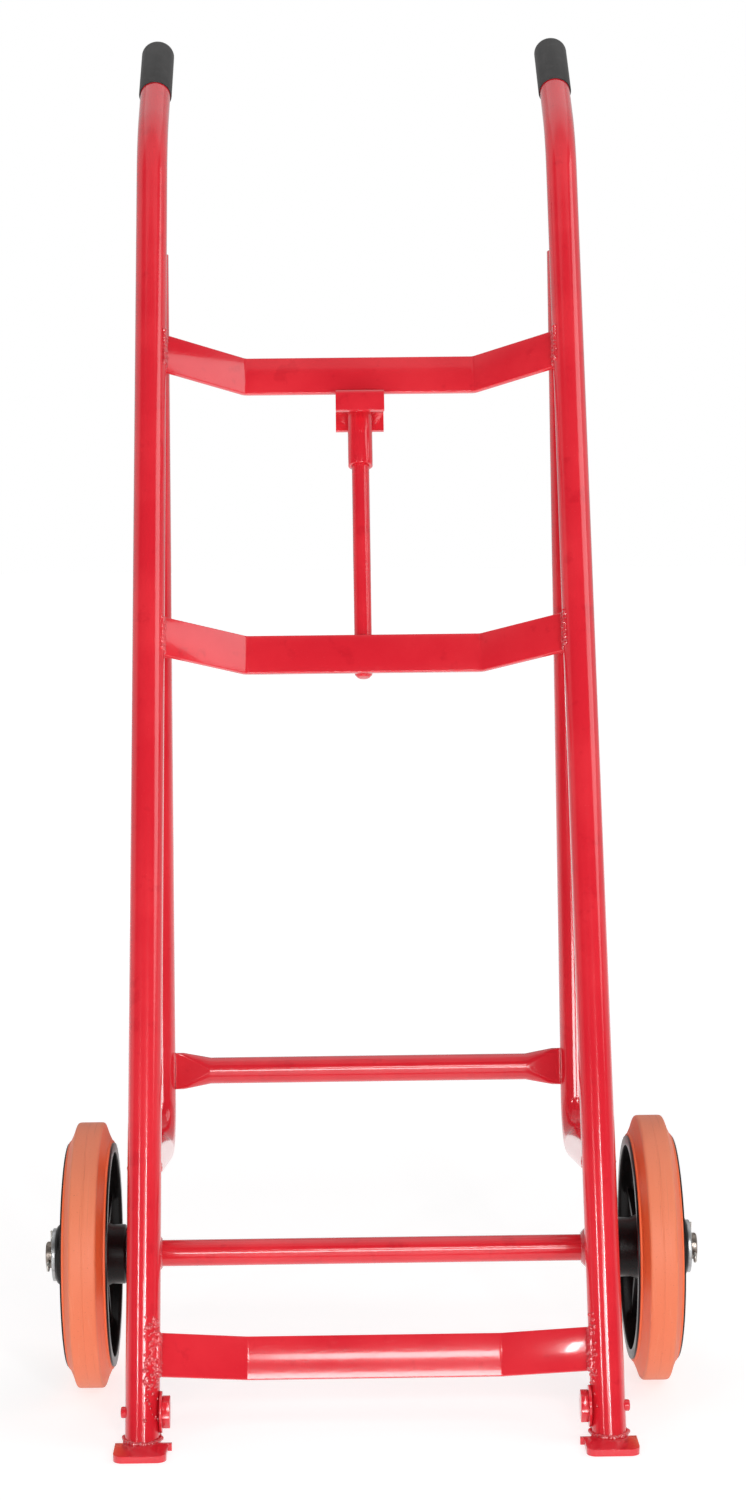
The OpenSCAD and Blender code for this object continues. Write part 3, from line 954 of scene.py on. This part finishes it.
@dataclass
class Wheels(Assembly):
    """Tyres, cast centres, bearings and washers."""

    middle: float = 0.271
    # Distance from the wheel's middle and radius, from the rim over the shoulder and flank to the tread.
    half_tyre: tuple[tuple[float, float], ...] = (
        (0.0205, 0.1070), (0.0205, 0.1090), (0.0199, 0.1097), (0.0190, 0.1099), (0.0186, 0.1103),
        (0.0185, 0.1112), (0.0152, 0.1185), (0.0131, 0.1246), (0.0127, 0.1256), (0.0122, 0.1263),
        (0.0112, 0.1268), (0.0098, 0.12698), (0.0050, 0.1270), (0.0005, 0.1270),
    )
    tyre_segments: int = 160
    tyre_shade: float = 30.0
    cast_edge: float = 0.0012
    washer_edge: float = 0.0005

    def tyre(self, side: str) -> None:
        """Turn one tyre with rounded tread corners, sloping flanks and a low shoulder.

        Args:
            side: left or right.
        """
        profile = [*self.half_tyre, *((-along, radius) for along, radius in reversed(self.half_tyre))]
        piece = Bench.lathe(f"{side}_tyre_ring", profile, self.tyre_segments)
        Bench.settle(piece, Matrix.Translation((SIDES[side] * self.middle, 0, STANCE.wheel_radius)))
        Bench.smooth(piece, self.tyre_shade)
        self.dress(piece, self.paint.tyres[side], f"{side}_wheel", "tyre", [f"{side}_tyre"])

    def build(self) -> None:
        """Build both wheels and dress their hardware."""
        for side in SIDES:
            self.tyre(side)
            body = f"{side}_wheel"
            centre = Bench.merged(f"{side}_wheel_centre", f"{side}_cast_centre", self.cast_edge)
            self.dress(centre, self.paint.cast, body, "wheel_centre", [f"{side}_wheel_centre"])
            for node in ("bearing_race", "bearing_rollers", "bearing_cage"):
                self.finish_node(f"{side}_{node}", self.paint.ground)
            for node in ("inner_washer", "outer_washer"):
                washer = Bench.merged(f"{side}_{node}", f"{side}_{node}_disc", self.washer_edge)
                self.dress(washer, self.paint.zinc, "frame", "washer_zinc", [f"{side}_{node}"])


@dataclass
class Frame(Assembly):
    """Crossbars, rear tube, brackets, axle and its welds, toes and grips."""

    bars: tuple[tuple[str, float], ...] = (("upper", 1.0844), ("middle", 0.778), ("lower", 0.076))
    bar_edge: float = 0.0009
    pair_edges: tuple[tuple[str, float], ...] = (
        ("axle_bracket", 0.0008), ("axle_spacer", 0.0006),
        ("toe", 0.0018), ("toe_bolt", 0.0010), ("toe_washer", 0.0006),
    )
    rod_edge: float = 0.0004
    grip_edge: float = 0.0012

    def build(self) -> None:
        """Build the frame's pieces."""
        for bar, _ in self.bars:
            piece = Bench.merged(f"{bar}_crossbar", f"{bar}_bar", self.bar_edge, 3)
            self.dress(piece, self.paint.enamel, "frame", "frame_paint", [f"{bar}_crossbar"])
        edges = [("rear_cross_tube", 0.0), ("axle_welds", 0.0)]
        edges += [(f"{side}_{part}", edge) for part, edge in self.pair_edges for side in SIDES]
        edges.append(("hook_rod", self.rod_edge))
        for node, edge in edges:
            piece = Bench.merged(node, f"{node}_painted", edge)
            material = self.paint.weld if "weld" in node else self.paint.enamel
            self.dress(piece, material, "frame", "frame_paint", [node])
        axle = Bench.merged("axle", "axle_shaft")
        self.dress(axle, self.paint.axle, "frame", "axle_steel", ["axle"])
        for side in SIDES:
            grip = Bench.merged(f"{side}_grip", f"{side}_dipped_grip", self.grip_edge, 3)
            self.dress(grip, self.paint.vinyl, "frame", "grip", [f"{side}_grip"])
            pin = Bench.merged(f"{side}_cotter_pin", f"{side}_split_pin")
            self.dress(pin, self.paint.pin, "frame", "washer_zinc", [f"{side}_cotter_pin"])


@dataclass
class Hook(Assembly):
    """Sliding chime hook with its sleeve."""

    sleeve_edge: float = 0.0007
    plate_edge: float = 0.0009

    def build(self) -> None:
        """Build the hook and sleeve."""
        sleeve = Bench.merged("hook_sleeve", "hook_sleeve_tube", self.sleeve_edge)
        self.dress(sleeve, self.paint.enamel, "hook", "hook_paint", ["hook_sleeve"])
        hook = Bench.merged("chime_hook", "chime_hook_plate", self.plate_edge, 3)
        self.dress(hook, self.paint.enamel, "hook", "hook_paint", ["chime_hook"])


@dataclass(frozen=True)
class Spatter:
    """Weld spatter on one rail: its random seed, number of drops, and span in degrees from the front."""

    seed: int
    drops: int
    span: tuple[float, float]


@dataclass
class Welds(Assembly):
    """Weld beads and spatter on the frame, with lengths in metres and angles in degrees."""

    bar_faces: tuple[tuple[str, float], ...] = (("front", 62.0), ("rear", 112.0))
    bar_half: float = 0.0175
    bar_bead: float = 0.0028
    low_bar_bead: float = 0.0034
    bar_seed: int = 100
    proud: float = 0.0006
    run_bead: float = 0.0022
    run_seed: int = 300
    saddle_steps: int = 20
    saddle_squeeze: float = 0.97
    valleys: tuple[tuple[str, float], ...] = (("inner", 152.0), ("outer", 208.0))
    valley_ups: tuple[float, ...] = (1.158, 1.180, 1.203)
    valley_proud: float = 0.0008
    valley_bead: float = 0.0026
    valley_seed: int = 310
    foot_start: float = -25.0
    foot_sweep: float = 230.0
    foot_steps: int = 18
    foot_bead: float = 0.0026
    foot_seed: int = 330
    left_spatter: Spatter = Spatter(41, 150, (8.0, 72.0))
    right_spatter: Spatter = Spatter(43, 60, (40.0, 78.0))
    thick_band: tuple[float, float] = (0.045, 0.108)
    wide_band: tuple[float, float] = (0.012, 0.108)
    thick_share: float = 0.75
    drop_sizes: tuple[float, float] = (0.0009, 0.0023)
    drop_sunk: float = 0.2

    def on_rail(self, side: str, turn: float, up: float, out: float = 0.0) -> Vector:
        """A point of a rail's surface.

        Args:
            side: left or right.
            turn: degrees from its front towards its inner side.
            up: height along the rail.
            out: distance off the surface.

        Returns:
            The point in the floor's frame.
        """
        reach, angle = TUBE.radius + out, math.radians(turn)
        across = SIDES[side] * (TUBE.across - reach * math.sin(angle))
        return STANCE.spot(across, -reach * math.cos(angle), up)

    def bar_ends(self, side: str) -> None:
        """Run beads down both faces of each crossbar's end.

        Args:
            side: left or right.
        """
        for number, (bar, up) in enumerate(Frame.bars):
            radius = self.low_bar_bead if bar == "lower" else self.bar_bead
            for face, turn in self.bar_faces:
                path = [self.on_rail(side, turn, up + step) for step in (-self.bar_half, 0.0, self.bar_half)]
                self.lay(f"{side}_{bar}_{face}_bead", path, radius, self.bar_seed + number)

    def saddle(self, side: str, reach: float) -> list[Vector]:
        """Follow the line where a leg's bottom run meets the back of its rail.

        Args:
            side: left or right.
            reach: distance of the line from the run's centre.

        Returns:
            Points round the run, in the floor's frame.
        """
        path = []
        for step in range(self.saddle_steps + 1):
            turn = math.tau * step / self.saddle_steps
            across = reach * math.cos(turn)
            back = math.sqrt(TUBE.radius**2 - across**2)
            sideways = SIDES[side] * TUBE.across + across * self.saddle_squeeze
            path.append(TUBE.leg_matrix @ Vector((sideways, back, reach * math.sin(turn))))
        return path

    def leg_ends(self, side: str) -> None:
        """Ring the leg's bottom run, and run beads up the valleys at its top.

        Args:
            side: left or right.
        """
        ring = self.saddle(side, TUBE.radius - self.proud)
        self.lay(f"{side}_leg_foot_bead", ring, self.run_bead, self.run_seed)
        for label, turn in self.valleys:
            path = [self.on_rail(side, turn, up, self.valley_proud) for up in self.valley_ups]
            self.lay(f"{side}_leg_top_{label}_bead", path, self.valley_bead, self.valley_seed)

    def foot(self, side: str) -> None:
        """Ring the rail's foot where it stands on the toe.

        Args:
            side: left or right.
        """
        tall = TUBE.radius / math.cos(STANCE.lean)
        foot_y = -STANCE.axle_back * math.cos(STANCE.lean) - STANCE.axle_up * math.sin(STANCE.lean)
        path = []
        for step in range(self.foot_steps + 1):
            turn = math.radians(self.foot_start + self.foot_sweep * step / self.foot_steps)
            across = SIDES[side] * TUBE.across - math.cos(turn) * (TUBE.radius + self.proud)
            back = foot_y - math.sin(turn) * (tall + self.proud)
            path.append(Vector((across, back, STANCE.toe_top + self.proud)))
        self.lay(f"{side}_foot_bead", path, self.foot_bead, self.foot_seed)

    def spatter(self, side: str) -> None:
        """Scatter cooled drops over the rail beside the lower crossbar.

        Args:
            side: left or right.
        """
        lie = self.left_spatter if side == "left" else self.right_spatter
        draw = random.Random(lie.seed)
        spots: list[tuple[Vector, float]] = []
        for _ in range(lie.drops):
            turn = draw.uniform(*lie.span)
            band = self.thick_band if draw.random() < self.thick_share else self.wide_band
            up = draw.uniform(*band)
            size = draw.uniform(*self.drop_sizes)
            spots.append((self.on_rail(side, turn, up, -size * self.drop_sunk), size))
        piece = Bench.drops(f"{side}_spatter", spots)
        self.dress(piece, self.paint.weld, "frame", "frame_paint")

    def lay(self, name: str, path: Sequence[Vector], radius: float, seed: int) -> None:
        """Lay one bead and dress it."""
        self.dress(Bench.bead(name, path, radius, seed), self.paint.weld, "frame", "frame_paint")

    def build(self) -> None:
        """Lay every bead."""
        for side in SIDES:
            self.bar_ends(side)
            self.leg_ends(side)
            self.foot(side)
            self.spatter(side)


# ---------------------------------------------------------------- studio
@dataclass(frozen=True)
class Softbox:
    """A lamp by its direction from the truck, in degrees, its width and height, and its power in watts."""

    name: str
    turn: float
    rise: float
    size: tuple[float, float]
    power: float


@dataclass
class Studio:
    """Floor, lights and camera."""

    camera_place: Point = (-0.0289, -2.8510, 0.8986)
    pitch: float = math.radians(5.678)
    yaw: float = math.radians(0.710)
    roll: float = math.radians(-0.619)
    focal: float = 72.0
    film_height: float = 36.0
    near_limit: float = 0.05
    floor_width: float = 40.0
    backdrop: float = 1.0
    room_front: float = 0.05
    room_back: float = 0.55
    room_fade: tuple[float, float] = (-0.20, 0.12)
    softboxes: tuple[Softbox, ...] = (
        Softbox("left_softbox", -38.0, 26.0, (0.13, 0.42), 7.5),
        Softbox("right_softbox", 14.0, 29.5, (0.13, 0.65), 12.0),
        Softbox("low_front", 2.0, 12.0, (2.6, 0.5), 52.0),
        Softbox("bar_glow", 5.0, 28.8, (0.72, 0.24), 8.5),
        Softbox("right_wall", 82.0, 38.0, (1.6, 1.6), 16.0),
    )
    softbox_distance: float = 3.4
    softbox_shift: Point = (0.0, -0.1, 0.1)
    softbox_target: Point = (0.0, 0.0, 0.35)
    overhead_place: Point = (0.0, 0.6, 4.6)
    overhead_target: Point = (0.0, 0.6, 0.0)
    overhead_size: tuple[float, float] = (6.0, 6.0)
    overhead_power: float = 45.0

    def floor(self) -> None:
        """Lay the flat floor."""
        Bench.clear()
        bpy.ops.mesh.primitive_plane_add(size=1.0, location=(0, 0, 0))
        floor = bpy.context.object
        floor.name = "studio_floor"
        floor.scale = (self.floor_width, self.floor_width, 1.0)
        Bench.settle(floor)
        floor.data.materials.append(PaleFloor().material())

    def lamp(
        self, name: str, place: Sequence[float], target: Point, size: tuple[float, float], power: float
    ) -> None:
        """Hang one soft rectangular lamp.

        Args:
            name: the lamp's name.
            place: where it hangs.
            target: the point that it faces.
            size: its width and height.
            power: its power in watts.
        """
        data = bpy.data.lights.new(name, "AREA")
        data.shape = "RECTANGLE"
        data.size, data.size_y = size
        data.energy = power
        lamp = bpy.data.objects.new(name, data)
        bpy.context.scene.collection.objects.link(lamp)
        lamp.location = place
        lamp.rotation_euler = (Vector(target) - Vector(place)).to_track_quat("-Z", "Y").to_euler()

    def surroundings(self) -> None:
        """Light the room: pale behind the truck, dim in front of it, and plain white to the camera."""
        world = bpy.data.worlds.new("studio")
        bpy.context.scene.world = world
        world.use_nodes = True
        tree = world.node_tree
        background = tree.nodes["Background"]
        direction = tree.nodes.new("ShaderNodeTexCoord")
        split = tree.nodes.new("ShaderNodeSeparateXYZ")
        tree.links.new(direction.outputs["Generated"], split.inputs[0])
        fade = tree.nodes.new("ShaderNodeMapRange")
        fade.interpolation_type = "SMOOTHSTEP"
        ends = (*self.room_fade, self.room_front, self.room_back)
        for key, value in zip(("From Min", "From Max", "To Min", "To Max"), ends):
            fade.inputs[key].default_value = value
        tree.links.new(split.outputs[1], fade.inputs["Value"])
        background.inputs[0].default_value = (1.0, 1.0, 1.0, 1.0)
        seen = tree.nodes.new("ShaderNodeLightPath")
        choose = tree.nodes.new("ShaderNodeMix")
        choose.inputs[3].default_value = self.backdrop
        tree.links.new(seen.outputs["Is Camera Ray"], choose.inputs[0])
        tree.links.new(fade.outputs[0], choose.inputs[2])
        tree.links.new(choose.outputs[0], background.inputs[1])

    def lights(self) -> None:
        """Set the soft studio light: softboxes in front and at the right, and a wide lamp overhead."""
        self.surroundings()
        for box in self.softboxes:
            turn, rise = math.radians(box.turn), math.radians(box.rise)
            way = Vector((math.sin(turn) * math.cos(rise), -math.cos(turn) * math.cos(rise), math.sin(rise)))
            place = way * self.softbox_distance + Vector(self.softbox_shift)
            self.lamp(box.name, place, self.softbox_target, box.size, box.power)
        place, target = self.overhead_place, self.overhead_target
        self.lamp("overhead", place, target, self.overhead_size, self.overhead_power)

    def camera(self) -> None:
        """Stand the camera in front, at about the hook's height, turned a little down and to the right."""
        data = bpy.data.cameras.new("camera")
        data.sensor_fit = "VERTICAL"
        data.sensor_height = self.film_height
        data.lens = self.focal
        data.clip_start = self.near_limit
        camera = bpy.data.objects.new("camera", data)
        bpy.context.scene.collection.objects.link(camera)
        level = Vector((math.cos(self.yaw), -math.sin(self.yaw), 0.0))
        flat = math.cos(self.pitch)
        forward = Vector((math.sin(self.yaw) * flat, math.cos(self.yaw) * flat, -math.sin(self.pitch)))
        upright = level.cross(forward)
        right = level * math.cos(self.roll) + upright * math.sin(self.roll)
        top = upright * math.cos(self.roll) - level * math.sin(self.roll)
        turn = Matrix((right, top, -forward)).transposed()
        camera.matrix_world = Matrix.Translation(self.camera_place) @ turn.to_4x4()
        bpy.context.scene.camera = camera

    def build(self) -> None:
        """Set the stage."""
        scene = bpy.context.scene
        scene.view_settings.view_transform = "Standard"
        self.camera()
        self.floor()
        self.lights()


FRAME: dict[str, Any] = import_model()


def main() -> None:
    """Build the truck's looks in order."""
    logging.basicConfig(level=logging.INFO, format="%(name)s: %(message)s")
    Studio().build()
    paint = Paintwork()
    for assembly in (Rails, Wheels, Frame, Hook, Welds):
        LOG.info("building %s", assembly.__name__)
        assembly(paint).build()


if __name__ == "__main__":
    main()
